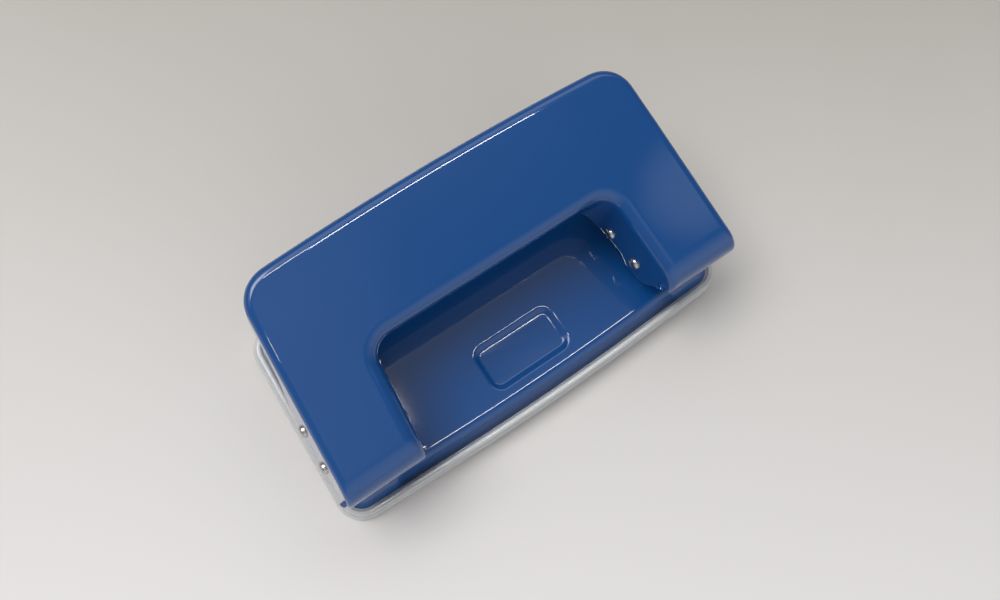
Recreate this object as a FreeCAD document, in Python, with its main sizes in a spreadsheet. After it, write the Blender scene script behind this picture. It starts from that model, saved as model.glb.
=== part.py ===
"""A small two-hole desk punch: a pressed steel handle over a riveted steel base with a clear chip tray.

Frame: millimetres, +X to the right, +Y to the rear, +Z up. The origin lies on the table under the middle of
the two holes, and the plane y = 0 goes through both cutters.
"""
import FreeCAD
import Part
import Sketcher
import math
import os

V = FreeCAD.Vector

SIZES = {
    # Punch geometry
    "hole_spacing": 80.0,
    "cutter_diameter": 6.0,
    "paper_margin": 12.0,
    "throat_height": 1.8,
    "running_clearance": 0.05,
    "press_clearance": 0.02,
    "cut_room": 9.0,
    "pin_diameter": 3.0,
    "pin_head_stand": 0.6,
    "pin_dome": 0.4,
    "pivot_ahead": 8.43,
    "pivot_height": 16.4,
    "drive_pin_back": 0.24,
    "drive_pin_height": 17.0,
    "drive_pin_drop": 3.58,
    "drive_pin_swing": 0.27,
    # Handle
    "handle_sheet": 1.0,
    "handle_top": 31.2,
    "handle_rise": 0.24,
    "handle_front": 18.6,
    "handle_rear": 31.0,
    "handle_rear_bow": 2.1,
    "handle_bow_radius": 780.0,
    "handle_taper": 3.9,
    "outer_ear_gap": 1.8,
    "inner_ear_gap": 0.75,
    "handle_rear_corner": 8.0,
    "handle_edge_round": 2.0,
    "leg_front_edge": 20.6,
    "leg_roll_radius": 6.5,
    "opening_taper": 2.3,
    "opening_rear": 6.0,
    "opening_corner": 5.0,
    "flange_depth": 5.5,
    "ear_low": 11.7,
    "ear_low_ahead": 2.4,
    "ear_reach": 9.3,
    "ear_corner": 2.0,
    "ear_under_drive_pin": 2.6,
    "ear_behind_drive_pin": 3.6,
    # Base plate
    "base_top": 8.7,
    "base_sheet": 1.2,
    "skirt_bottom": 3.0,
    "base_side_room": 1.7,
    "base_taper": 2.6,
    "base_front": 20.0,
    "base_front_bow": 1.9,
    "base_bow_radius": 700.0,
    "base_rear": 25.0,
    "base_corner": 4.0,
    "base_edge_round": 1.6,
    "sunk_panel_half": 10.4,
    "sunk_panel_far": 4.4,
    "sunk_panel_near": 15.2,
    "sunk_panel_corner": 2.6,
    "sunk_panel_depth": 0.8,
    # Chip tray
    "tray_floor": 1.2,
    "tray_foot": 2.4,
    "tray_wall_step": 0.7,
    "tray_rim_height": 3.8,
    "tray_lip_height": 6.0,
    "tray_lip_half": 39.7,
    "tray_fit": 0.2,
    "tray_ledge": 2.4,
    # Brackets, with their rivets
    "bracket_sheet": 1.5,
    "bracket_half_width": 7.3,
    "bracket_front": 12.8,
    "bracket_rear": 20.5,
    "bracket_top": 22.5,
    "bracket_bend": 1.0,
    "rivet_diameter": 2.5,
    "rivet_head": 4.6,
    "rivet_head_height": 1.1,
    "rivet_tail": 3.8,
    "rivet_tail_height": 0.7,
    "rivet_offset": 3.8,
    "rivet_back": 17.2,
    # Cutters and dies
    "cutter_lift": 0.2,
    "cutter_top": 22.0,
    "cutter_notch": 0.8,
    "die_diameter": 9.0,
    "die_depth": 1.4,
    # Return springs, washers and spacers
    "spring_wire": 0.9,
    "spring_bore": 3.6,
    "spring_pitch": 1.4,
    "spring_turns": 4,
    "spring_side_gap": 1.5,
    "spring_plate_gap": 0.5,
    "spring_seat_gap": 0.05,
    "washer_diameter": 6.0,
    "washer_gap": 0.1,
}


class Size:
    """A number together with the spreadsheet expression that gives it."""

    def __init__(self, value, text=None):
        self.value = float(value)
        self.text = text if text is not None else f"({float(value)!r})"

    def combine(self, other, sign, turned=False):
        other = other if isinstance(other, Size) else Size(other)
        a, b = (other, self) if turned else (self, other)
        values = {"+": a.value + b.value, "-": a.value - b.value, "*": a.value * b.value}
        value = a.value / b.value if sign == "/" else values[sign]
        return Size(value, f"({a.text} {sign} {b.text})")

    def __add__(self, other): return self.combine(other, "+")
    def __radd__(self, other): return self.combine(other, "+", True)
    def __sub__(self, other): return self.combine(other, "-")
    def __rsub__(self, other): return self.combine(other, "-", True)
    def __mul__(self, other): return self.combine(other, "*")
    def __rmul__(self, other): return self.combine(other, "*", True)
    def __truediv__(self, other): return self.combine(other, "/")
    def __neg__(self): return self.combine(-1, "*")


class Sheet:
    """The driving sizes, read as attributes: s.base_top is a Size bound to its cell."""

    def __init__(self, document):
        self.cells = document.addObject("Spreadsheet::Sheet", "sizes")
        for row, (name, value) in enumerate(SIZES.items(), 1):
            self.cells.set(f"A{row}", name)
            self.cells.set(f"B{row}", str(value))
            self.cells.setAlias(f"B{row}", name)
        document.recompute()

    def __getattr__(self, name):
        return Size(SIZES[name], f"sizes.{name}")


doc = FreeCAD.newDocument("two_hole_punch")
s = Sheet(doc)
SIDES = (("left", -1), ("right", 1))


def number(size):
    return size.value if isinstance(size, Size) else float(size)


def bind(thing, prop, size):
    """Ties one property to the sheet."""
    thing.setExpression(prop, (size if isinstance(size, Size) else Size(size)).text)


def body(label):
    made = doc.addObject("PartDesign::Body", label)
    made.Label = label
    return made


def sketch(owner, name, role, lift=0):
    """A sketch on one of the body's own origin planes, moved along the plane's normal by lift."""
    plane = [f for f in owner.Origin.OriginFeatures if f.Role == role][0]
    made = owner.newObject("Sketcher::SketchObject", name)
    made.AttachmentSupport = [(plane, "")]
    made.MapMode = "FlatFace"
    bind(made, "AttachmentOffset.Base.z", lift)
    return made


def fix(drawing, kind, place, size):
    """One dimension of a sketch, bound to the sheet. A plain zero pins the point to an axis."""
    if number(size) == 0 and kind != "Radius":
        axis = -2 if kind == "DistanceX" else -1
        drawing.addConstraint(Sketcher.Constraint("PointOnObject", *place, axis))
        return
    index = drawing.addConstraint(Sketcher.Constraint(kind, *place, number(size)))
    drawing.setExpression(f"Constraints[{index}]", size.text if isinstance(size, Size) else Size(size).text)


def outline(drawing, corners):
    """A closed loop of straight lines. A corner is (u, v) or (u, v, radius) for a tangent arc."""
    count = len(corners)
    points = [V(number(c[0]), number(c[1]), 0) for c in corners]
    starts, ends, arcs = [], [], {}
    for i, corner in enumerate(corners):
        here = points[i]
        if len(corner) == 2:
            starts.append(here)
            ends.append(here)
            continue
        back = (points[i - 1] - here).normalize()
        ahead = (points[(i + 1) % count] - here).normalize()
        half = back.getAngle(ahead) / 2
        radius = number(corner[2])
        reach = radius / math.tan(half)
        centre = here + (back + ahead).normalize() * (radius / math.sin(half))
        starts.append(here + ahead * reach)
        ends.append(here + back * reach)
        arcs[i] = (centre, radius)
    for i in range(count):
        drawing.addGeometry(Part.LineSegment(starts[i], ends[(i + 1) % count]))
    for i, corner in enumerate(corners):
        before, after = (i - 1) % count, i
        if i not in arcs:
            drawing.addConstraint(Sketcher.Constraint("Coincident", before, 2, after, 1))
            fix(drawing, "DistanceX", (after, 1), corner[0])
            fix(drawing, "DistanceY", (after, 1), corner[1])
            continue
        centre, radius = arcs[i]
        turn = (ends[i] - centre).cross(starts[i] - centre).z
        first, last = (ends[i], starts[i]) if turn > 0 else (starts[i], ends[i])
        begin = math.atan2(first.y - centre.y, first.x - centre.x)
        finish = math.atan2(last.y - centre.y, last.x - centre.x)
        circle = Part.Circle(centre, V(0, 0, 1), radius)
        arc = drawing.addGeometry(Part.ArcOfCircle(circle, begin, finish))
        near, far = (1, 2) if turn > 0 else (2, 1)
        drawing.addConstraint(Sketcher.Constraint("Tangent", before, 2, arc, near))
        drawing.addConstraint(Sketcher.Constraint("Tangent", arc, far, after, 1))
        fix(drawing, "Radius", (arc,), corner[2])
        corner_point = drawing.addGeometry(Part.Point(points[i]), True)
        drawing.addConstraint(Sketcher.Constraint("PointOnObject", corner_point, 1, before))
        drawing.addConstraint(Sketcher.Constraint("PointOnObject", corner_point, 1, after))
        fix(drawing, "DistanceX", (corner_point, 1), corner[0])
        fix(drawing, "DistanceY", (corner_point, 1), corner[1])


def circle(drawing, u, v, radius):
    made = drawing.addGeometry(Part.Circle(V(number(u), number(v), 0), V(0, 0, 1), number(radius)))
    fix(drawing, "DistanceX", (made, 3), u)
    fix(drawing, "DistanceY", (made, 3), v)
    fix(drawing, "Radius", (made,), radius)


def feature(owner, kind, name, drawing, length=None, both_ways=False, reverse=False):
    """A Pad, Pocket or Revolution of one sketch. With no length, a Pocket goes through everything."""
    made = owner.newObject(f"PartDesign::{kind}", name)
    made.Profile = drawing
    if both_ways:
        made.SideType = "Symmetric"
    if reverse:
        made.Reversed = True
    if length is None:
        made.Type = "ThroughAll"
    else:
        bind(made, "Length", length)
    drawing.Visibility = False
    return made


def edges(shape, test):
    """Names of the edges whose middle point and shape pass the test."""
    return [f"Edge{i + 1}" for i, e in enumerate(shape.Edges) if test(e, e.CenterOfMass)]


def soften(owner, kind, name, test, size):
    """A Fillet of that radius, or a Chamfer of that size, on the body's edges that pass the test."""
    doc.recompute()
    base = owner.Tip
    made = owner.newObject(f"PartDesign::{kind}", name)
    made.Base = (base, edges(base.Shape, test))
    bind(made, "Radius" if kind == "Fillet" else "Size", size)
    return made


# Places that several pieces share.
station = s.hole_spacing / 2
pin_radius = s.pin_diameter / 2
guide_bottom = s.base_top + s.throat_height
guide_top = guide_bottom + s.bracket_sheet
stop_face = s.paper_margin
pivot_y = -s.pivot_ahead
bracket_outside = station + s.bracket_half_width
bracket_inside = station - s.bracket_half_width
inner_slope = s.opening_taper / (s.handle_front + s.opening_rear)
outer_slope = s.handle_taper / (s.handle_front + s.handle_rear)
base_rear_half = station + s.rivet_offset + s.rivet_tail / 2 + s.base_side_room + s.base_sheet
base_front_half = base_rear_half + s.base_taper


def handle_top_at(y):
    """Height of the handle's sloping top."""
    return s.handle_top + s.handle_rise * y


def inner_ear_at(y):
    """Half-width to the ear's face in the opening."""
    return bracket_inside - s.inner_ear_gap - s.handle_sheet - inner_slope * (y - pivot_y)


def outer_ear_at(y):
    """Half-width to the ear's outer face."""
    return bracket_outside + s.outer_ear_gap + s.handle_sheet - outer_slope * (y - pivot_y)


# Handle: one sheet, drawn and folded down all round, open underneath and at the front between its legs.
handle_low = s.ear_low - s.cut_room / 3
handle_high = handle_top_at(2 * s.handle_rear)
front_half = outer_ear_at(-s.handle_front)
rear_half = outer_ear_at(s.handle_rear)
all_width = 3 * front_half


def handle_outline(drawing, inset):
    rear = s.handle_rear - inset
    outline(drawing, [
        (-front_half + inset, -s.handle_front + inset),
        (front_half - inset, -s.handle_front + inset),
        (rear_half - inset, rear - s.handle_rear_bow, s.handle_rear_corner - inset),
        (0, rear, s.handle_bow_radius),
        (-rear_half + inset, rear - s.handle_rear_bow, s.handle_rear_corner - inset),
    ])


def top_line(drawing, inset):
    front = -s.handle_front + inset
    rear = s.handle_rear + s.cut_room
    low = handle_low - s.cut_room
    high = handle_high + s.cut_room
    outline(drawing, [
        (front, low),
        (front, handle_top_at(front) - inset, s.leg_roll_radius - inset),
        (rear, handle_top_at(rear) - inset),
        (rear, high),
        (front - s.cut_room, high),
        (front - s.cut_room, low),
    ])


def opening_outline(drawing, inset):
    front = -s.handle_front - s.cut_room
    outline(drawing, [
        (-inner_ear_at(front) - inset, front),
        (inner_ear_at(front) + inset, front),
        (inner_ear_at(s.opening_rear) + inset, s.opening_rear + inset, s.opening_corner + inset),
        (-inner_ear_at(s.opening_rear) - inset, s.opening_rear + inset, s.opening_corner + inset),
    ])


def on_rim(edge, middle):
    """Edges between the upright walls and the top, the rolls and the front faces of the legs."""
    bottom = edge.BoundBox.ZMax < number(handle_low) + 0.1
    level = edge.BoundBox.YLength < 0.01 and edge.BoundBox.ZLength < 0.01 and middle.y < -number(s.handle_front) / 2
    upright = edge.BoundBox.ZLength > 9 and edge.BoundBox.YLength < 1 and middle.y > -number(s.handle_front) / 2
    return not (bottom or level or upright)


def handle_form(label, inset):
    """The handle's outside, or with an inset the space inside its sheet."""
    form = body(label)
    plan = sketch(form, f"{label}_plan", "XY_Plane", handle_low - inset)
    handle_outline(plan, inset)
    feature(form, "Pad", f"{label}_block", plan, handle_high - handle_low)
    side = sketch(form, f"{label}_top_line", "YZ_Plane")
    top_line(side, inset)
    feature(form, "Pocket", f"{label}_top_cut", side, all_width, both_ways=True)
    gap = sketch(form, f"{label}_opening", "XY_Plane", handle_low - s.cut_room)
    opening_outline(gap, inset)
    feature(form, "Pocket", f"{label}_opening_cut", gap, 2 * handle_high, reverse=True)
    return form


handle = handle_form("handle", 0)
soften(handle, "Fillet", "handle_rounding", on_rim, s.handle_edge_round)
hollow = handle_form("handle_hollow", s.handle_sheet)
soften(hollow, "Chamfer", "hollow_rounding", on_rim, s.handle_edge_round / 4)
inside = handle.newObject("PartDesign::Boolean", "handle_inside")
inside.Type = "Cut"
inside.Group = [hollow]

drive_under = s.drive_pin_height - s.ear_under_drive_pin
flange_line = handle_top_at(0) - s.flange_depth
rear_end = s.handle_rear + s.cut_room
front_end = -s.handle_front - s.cut_room
ears = sketch(handle, "handle_lower_line", "YZ_Plane")
outline(ears, [
    (front_end, s.leg_front_edge),
    (pivot_y - s.ear_reach, s.leg_front_edge, s.ear_corner / 2),
    (pivot_y - s.ear_low_ahead - s.ear_corner, s.ear_low, 2 * s.ear_corner),
    (pivot_y + s.ear_corner / 2, s.ear_low, s.ear_corner),
    (pivot_y + 2 * s.ear_corner, drive_under, s.ear_corner),
    (s.drive_pin_back + s.ear_behind_drive_pin, drive_under, s.ear_corner),
    (s.paper_margin, flange_line + s.handle_rise * s.paper_margin, 2 * s.ear_corner),
    (rear_end, flange_line + s.handle_rise * rear_end),
    (rear_end, handle_low - s.cut_room),
    (front_end, handle_low - s.cut_room),
])
feature(handle, "Pocket", "handle_lower_cut", ears, all_width, both_ways=True)
ear_holes = sketch(handle, "handle_pin_holes", "YZ_Plane")
circle(ear_holes, pivot_y, s.pivot_height, pin_radius + s.press_clearance)
circle(ear_holes, s.drive_pin_back, s.drive_pin_height, pin_radius + s.press_clearance)
feature(handle, "Pocket", "handle_pin_hole_cut", ear_holes, all_width, both_ways=True)


# Base plate: a pressed plate with a skirt all round, a die hole under each cutter and a sunk panel between.
def base_outline(drawing, grow):
    front = -s.base_front - grow
    outline(drawing, [
        (-base_front_half - grow, front, s.base_corner + grow),
        (0, front - s.base_front_bow, s.base_bow_radius),
        (base_front_half + grow, front, s.base_corner + grow),
        (base_rear_half + grow, s.base_rear + grow, s.base_corner + grow),
        (-base_rear_half - grow, s.base_rear + grow, s.base_corner + grow),
    ])


def sunk_panel(drawing, grow):
    outline(drawing, [
        (-s.sunk_panel_half - grow, -s.sunk_panel_near - grow, s.sunk_panel_corner + grow),
        (s.sunk_panel_half + grow, -s.sunk_panel_near - grow, s.sunk_panel_corner + grow),
        (s.sunk_panel_half + grow, -s.sunk_panel_far + grow, s.sunk_panel_corner + grow),
        (-s.sunk_panel_half - grow, -s.sunk_panel_far + grow, s.sunk_panel_corner + grow),
    ])


base = body("base_plate")
plate = sketch(base, "base_plan", "XY_Plane", s.skirt_bottom)
base_outline(plate, 0)
feature(base, "Pad", "base_block", plate, s.base_top - s.skirt_bottom)


def on_plate_rim(edge, middle):
    return edge.BoundBox.ZMin > number(s.base_top) - 0.01


soften(base, "Fillet", "base_rounding", on_plate_rim, s.base_edge_round)
under = sketch(base, "base_inside", "XY_Plane", s.skirt_bottom)
base_outline(under, -s.base_sheet)
feature(base, "Pocket", "base_hollow", under, s.base_top - s.skirt_bottom - s.base_sheet, reverse=True)
bulge = sketch(base, "panel_underside", "XY_Plane", s.base_top - s.base_sheet - s.sunk_panel_depth)
sunk_panel(bulge, s.base_sheet / 2)
feature(base, "Pad", "panel_bulge", bulge, s.sunk_panel_depth + s.base_sheet / 2)
panel = sketch(base, "panel_plan", "XY_Plane", s.base_top)
sunk_panel(panel, 0)
feature(base, "Pocket", "panel_sink", panel, s.sunk_panel_depth)


def on_panel_rim(edge, middle):
    inside = abs(middle.x) < number(s.sunk_panel_half) + 0.1 and edge.BoundBox.XLength < 3 * number(s.sunk_panel_half)
    return edge.BoundBox.ZMin > number(s.base_top) - 0.01 and inside


soften(base, "Chamfer", "panel_rounding", on_panel_rim, s.sunk_panel_depth / 2)
base_holes = sketch(base, "base_holes_plan", "XY_Plane")
for side, sign in SIDES:
    circle(base_holes, sign * station, 0, s.die_diameter / 2)
    for offset in (-s.rivet_offset, s.rivet_offset):
        circle(base_holes, sign * station + offset, s.rivet_back, s.rivet_diameter / 2 + s.press_clearance)
feature(base, "Pocket", "base_holes", base_holes, 2 * s.base_top, reverse=True)

# Chip tray: a clear plastic pan that holds the skirt from outside, with a lip at the front to pull it off by.
tray = body("chip_tray")
foot = sketch(tray, "tray_foot_plan", "XY_Plane")
base_outline(foot, s.tray_foot)
feature(tray, "Pad", "tray_floor_block", foot, s.tray_floor)
rim = sketch(tray, "tray_rim_plan", "XY_Plane")
base_outline(rim, s.tray_foot - s.tray_wall_step)
feature(tray, "Pad", "tray_rim_block", rim, s.tray_rim_height)
lip = sketch(tray, "tray_lip_plan", "XY_Plane")
lip_front = -s.base_front - s.tray_foot + s.tray_wall_step
lip_slope = s.base_front_bow / (base_front_half + s.tray_foot - s.tray_wall_step)
lip_end = lip_front - s.base_front_bow + lip_slope * s.tray_lip_half
outline(lip, [
    (-s.tray_lip_half, -s.base_front + s.tray_fit),
    (-s.tray_lip_half, lip_end),
    (0, lip_front - s.base_front_bow, s.base_bow_radius),
    (s.tray_lip_half, lip_end),
    (s.tray_lip_half, -s.base_front + s.tray_fit),
])
feature(tray, "Pad", "tray_lip_block", lip, s.tray_lip_height)
seat = sketch(tray, "tray_seat_plan", "XY_Plane", s.skirt_bottom)
base_outline(seat, s.tray_fit)
feature(tray, "Pocket", "tray_seat", seat, s.base_top, reverse=True)
pan = sketch(tray, "tray_pan_plan", "XY_Plane", s.tray_floor)
base_outline(pan, -s.tray_ledge)
feature(tray, "Pocket", "tray_pan", pan, s.base_top, reverse=True)


def ring(label, role, lift, u, v, outer, inner, length):
    made = body(label)
    drawing = sketch(made, f"{label}_ring", role, lift)
    circle(drawing, u, v, outer)
    circle(drawing, u, v, inner)
    feature(made, "Pad", f"{label}_wall", drawing, length)
    return made


def pin(label, sign, y, z):
    """A pin through both ears of a leg, with domed ends that stand out of them."""
    near, far = inner_ear_at(y) - s.pin_head_stand, outer_ear_at(y) + s.pin_head_stand
    made = body(label)
    drawing = sketch(made, f"{label}_end", "YZ_Plane", near if sign > 0 else -far)
    circle(drawing, y, z, pin_radius)
    feature(made, "Pad", f"{label}_shaft", drawing, far - near)
    soften(made, "Chamfer", f"{label}_domes", lambda edge, middle: edge.BoundBox.XLength < 0.01, s.pin_dome)
    return made


def bracket(label, sign):
    """A bent steel bracket: foot, paper stop, guide plate over the throat and two upright walls."""
    made = body(label)
    low = sign * station - s.bracket_half_width
    rear = stop_face + s.bracket_sheet
    foot_top = s.base_top + s.bracket_sheet
    web = sketch(made, f"{label}_web_line", "YZ_Plane", low)
    outline(web, [
        (-s.bracket_front, guide_bottom),
        (stop_face, guide_bottom),
        (stop_face, s.base_top),
        (s.bracket_rear, s.base_top),
        (s.bracket_rear, foot_top),
        (rear, foot_top),
        (rear, guide_top, s.bracket_bend),
        (-s.bracket_front, guide_top),
    ])
    feature(made, "Pad", f"{label}_web", web, 2 * s.bracket_half_width)
    for name, lift in (("near", low), ("far", low + 2 * s.bracket_half_width - s.bracket_sheet)):
        wall = sketch(made, f"{label}_{name}_line", "YZ_Plane", lift)
        outline(wall, [
            (-s.bracket_front, guide_bottom),
            (rear - s.bracket_bend, guide_bottom),
            (rear - s.bracket_bend, s.pivot_height, s.bracket_bend),
            (s.cutter_diameter, s.bracket_top, 2 * s.bracket_bend),
            (pivot_y, s.bracket_top, 2 * s.bracket_bend),
            (-s.bracket_front, s.drive_pin_height, s.bracket_bend),
        ])
        feature(made, "Pad", f"{label}_{name}_wall", wall, s.bracket_sheet)
    holes = sketch(made, f"{label}_side_holes", "YZ_Plane")
    slot_half = s.drive_pin_swing + pin_radius + 2 * s.running_clearance
    slot_top = s.drive_pin_height + pin_radius + s.running_clearance
    slot_low = s.drive_pin_height - s.drive_pin_drop - pin_radius - s.running_clearance
    outline(holes, [
        (-slot_half, slot_low, s.bracket_bend),
        (slot_half, slot_low, s.bracket_bend),
        (slot_half, slot_top, s.bracket_bend),
        (-slot_half, slot_top, s.bracket_bend),
    ])
    circle(holes, pivot_y, s.pivot_height, pin_radius + s.running_clearance)
    feature(made, "Pocket", f"{label}_side_cut", holes, 3 * s.hole_spacing, both_ways=True)
    guides = sketch(made, f"{label}_guide_plan", "XY_Plane")
    circle(guides, sign * station, 0, s.cutter_diameter / 2 + s.running_clearance)
    for offset in (-s.rivet_offset, s.rivet_offset):
        circle(guides, sign * station + offset, s.rivet_back, s.rivet_diameter / 2 + s.press_clearance)
    feature(made, "Pocket", f"{label}_guide_cut", guides, 2 * guide_top, reverse=True)
    return made


def cutter(label, sign):
    """A round punch: a cross slot near the top for the drive pin, and a notch across the cutting end."""
    made = body(label)
    tip = guide_bottom + s.cutter_lift
    drawing = sketch(made, f"{label}_round", "XY_Plane", tip)
    circle(drawing, sign * station, 0, s.cutter_diameter / 2)
    feature(made, "Pad", f"{label}_shaft", drawing, s.cutter_top - tip)
    cuts = sketch(made, f"{label}_cross_slot", "YZ_Plane")
    slot_half = s.drive_pin_swing + pin_radius + 2 * s.running_clearance
    rise = pin_radius + 2 * s.running_clearance
    outline(cuts, [
        (-slot_half, s.drive_pin_height - rise),
        (slot_half, s.drive_pin_height - rise),
        (slot_half, s.drive_pin_height + rise),
        (-slot_half, s.drive_pin_height + rise),
    ])
    feature(made, "Pocket", f"{label}_cross_cut", cuts, 3 * s.hole_spacing, both_ways=True)
    notch = sketch(made, f"{label}_notch_line", "YZ_Plane")
    outline(notch, [
        (-s.cutter_diameter, tip - s.cutter_notch),
        (s.cutter_diameter, tip - s.cutter_notch),
        (0, tip + s.cutter_notch),
    ])
    feature(made, "Pocket", f"{label}_notch_cut", notch, 3 * s.hole_spacing, both_ways=True)
    return made


def rivet(label, x):
    """Domed head on the bracket's foot, closed over under the base plate."""
    made = body(label)
    foot_top = s.base_top + s.bracket_sheet
    under_plate = s.base_top - s.base_sheet
    steps = (
        ("tail", under_plate - s.rivet_tail_height, s.rivet_tail, s.rivet_tail_height),
        ("shank", under_plate - s.rivet_tail_height, s.rivet_diameter, foot_top - under_plate + s.rivet_head_height),
        ("head", foot_top, s.rivet_head, s.rivet_head_height),
    )
    for name, lift, wide, length in steps:
        drawing = sketch(made, f"{label}_{name}_round", "XY_Plane", lift)
        circle(drawing, x, s.rivet_back, wide / 2)
        feature(made, "Pad", f"{label}_{name}", drawing, length)
    top = number(foot_top + s.rivet_head_height)
    soften(made, "Chamfer", f"{label}_dome", lambda edge, middle: edge.BoundBox.ZMin > top - 0.01, s.rivet_head_height / 2)
    return made


def arc_edge(start, tangent, end):
    """A circular arc that leaves start along tangent and reaches end."""
    chord = end - start
    angle = tangent.getAngle(chord)
    middle = (start + end) / 2
    side = (tangent * (chord.Length / 2 / math.cos(angle)) + start - middle)
    rise = chord.Length / 2 * math.tan(angle / 2)
    return Part.Arc(start, middle + side.normalize() * rise, end).toShape()


def biarc(start, leaving, end, arriving):
    """Two tangent arcs from start to end that keep both directions."""
    chord = end - start
    both = leaving + arriving
    spread = 2 * (1 - leaving.dot(arriving))
    reach = (-chord.dot(both) + math.sqrt(chord.dot(both) ** 2 + spread * chord.dot(chord))) / spread
    joint = (start + end + (leaving - arriving) * reach) / 2
    return [arc_edge(start, leaving, joint), arc_edge(end, arriving * -1, joint)]


def return_spring(label, sign):
    """A torsion spring coiled round the pivot pin: short leg down on the guide plate, long leg up."""
    wire = number(s.spring_wire)
    mean = (number(s.spring_bore) + wire) / 2
    pitch = number(s.spring_pitch)
    first_x = number(bracket_inside + s.bracket_sheet + s.spring_side_gap)
    centre_y, centre_z = number(pivot_y), number(s.pivot_height)
    begin, finish = math.radians(-120), math.radians(-205 - 360 * number(s.spring_turns))

    def point(angle):
        x = first_x + pitch * (begin - angle) / (2 * math.pi)
        return V(x, centre_y + mean * math.cos(angle), centre_z + mean * math.sin(angle))

    def direction(angle):
        return V(pitch / (2 * math.pi), mean * math.sin(angle), -mean * math.cos(angle)).normalize()

    def drop_to_guide(start, way):
        """Length of a leg from start along way that ends on the guide plate."""
        seat = number(guide_top + s.spring_seat_gap) + wire / 2
        return (seat - start.z) / way.z

    def rise_to_plate(start, way):
        """Length of a leg from start along way that ends just under the handle's top."""
        rise = number(s.handle_rise)
        skin = number(s.handle_sheet) * math.hypot(1, rise)
        ceiling = number(s.handle_top) + rise * start.y - skin - number(s.spring_plate_gap) - wire / 2
        return (ceiling - start.z) / (way.z - rise * way.y)

    steps = math.ceil((begin - finish) / (math.pi / 2))
    angles = [begin + (finish - begin) * k / steps for k in range(steps + 1)]
    tip = point(begin) - direction(begin) * drop_to_guide(point(begin), -direction(begin))
    path = [Part.LineSegment(tip, point(begin)).toShape()]
    for a, b in zip(angles, angles[1:]):
        path += biarc(point(a), direction(a), point(b), direction(b))
    top = point(finish) + direction(finish) * rise_to_plate(point(finish), direction(finish))
    path.append(Part.LineSegment(point(finish), top).toShape())
    spine = Part.Wire(Part.__sortEdges__(path))
    shell = Part.BRepOffsetAPI.MakePipeShell(spine)
    flat = [V(0, math.cos(k * math.pi / 4), math.sin(k * math.pi / 4)) * (wire / 2) for k in range(9)]
    turn = FreeCAD.Rotation(V(1, 0, 0), direction(begin))
    shell.add(Part.makePolygon([tip + turn.multVec(corner) for corner in flat]))
    shell.build()
    shell.makeSolid()
    shape = shell.shape()
    points = spine.discretize(Distance=wire / 3)
    half_turn = math.ceil(math.pi * mean / (wire / 3))
    nearest = min(a.distanceToPoint(b) for i, a in enumerate(points) for b in points[i + half_turn:])
    print(label, "least gap to itself", round(nearest - wire, 2), "mm")
    made = doc.addObject("Part::Feature", label)
    made.Label = label
    made.Shape = shape if sign > 0 else shape.mirror(V(0, 0, 0), V(1, 0, 0))
    return made


nodes = {"handle": handle, "base_plate": base, "chip_tray": tray}
for side, sign in SIDES:
    nodes[f"bracket_{side}"] = bracket(f"bracket_{side}", sign)
    nodes[f"cutter_{side}"] = cutter(f"cutter_{side}", sign)
    nodes[f"pivot_pin_{side}"] = pin(f"pivot_pin_{side}", sign, pivot_y, s.pivot_height)
    nodes[f"drive_pin_{side}"] = pin(f"drive_pin_{side}", sign, s.drive_pin_back, s.drive_pin_height)
    die_low = s.base_top - s.die_depth
    die_bore = s.cutter_diameter / 2 + s.running_clearance
    label = f"die_{side}"
    nodes[label] = ring(label, "XY_Plane", die_low, sign * station, 0, s.die_diameter / 2, die_bore, s.die_depth)
    bore = pin_radius + s.running_clearance
    lean = outer_slope * s.washer_diameter / 2
    outer_length = s.outer_ear_gap - lean - 2 * s.washer_gap
    outer_start = bracket_outside + s.washer_gap
    inner_lean = inner_slope * s.washer_diameter / 2
    inner_length = s.inner_ear_gap - inner_lean - 2 * s.washer_gap
    inner_end = bracket_inside - s.washer_gap
    outer_low = outer_start if sign > 0 else -outer_start - outer_length
    inner_low = inner_end - inner_length if sign > 0 else -inner_end
    wide = s.washer_diameter / 2
    for label, low_x, length in ((f"pivot_spacer_{side}", outer_low, outer_length),
                                 (f"pivot_washer_{side}", inner_low, inner_length)):
        nodes[label] = ring(label, "YZ_Plane", low_x, pivot_y, s.pivot_height, wide, bore, length)
    for name, offset in (("inner", -s.rivet_offset), ("outer", s.rivet_offset)):
        label = f"rivet_{side}_{name}"
        nodes[label] = rivet(label, sign * (station + offset))
    nodes[f"return_spring_{side}"] = return_spring(f"return_spring_{side}", sign)

doc.recompute()
failed = [o.Name for o in doc.Objects if "Invalid" in o.State or "Error" in o.State]
if failed:
    raise RuntimeError(f"these objects failed: {failed}")
os.makedirs("parts", exist_ok=True)
for label, node in nodes.items():
    if node.Shape.isNull() or not node.Shape.isValid() or len(node.Shape.Solids) != 1:
        raise RuntimeError(f"{label} is not one valid solid")
    node.Shape.exportStep(f"parts/{label}.step")
print("nodes", len(nodes))
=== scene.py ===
"""Visual model of a mini two-hole desk punch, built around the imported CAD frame."""
import math

import bmesh
import bpy
import numpy as np
from mathutils import Matrix, Vector


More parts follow.
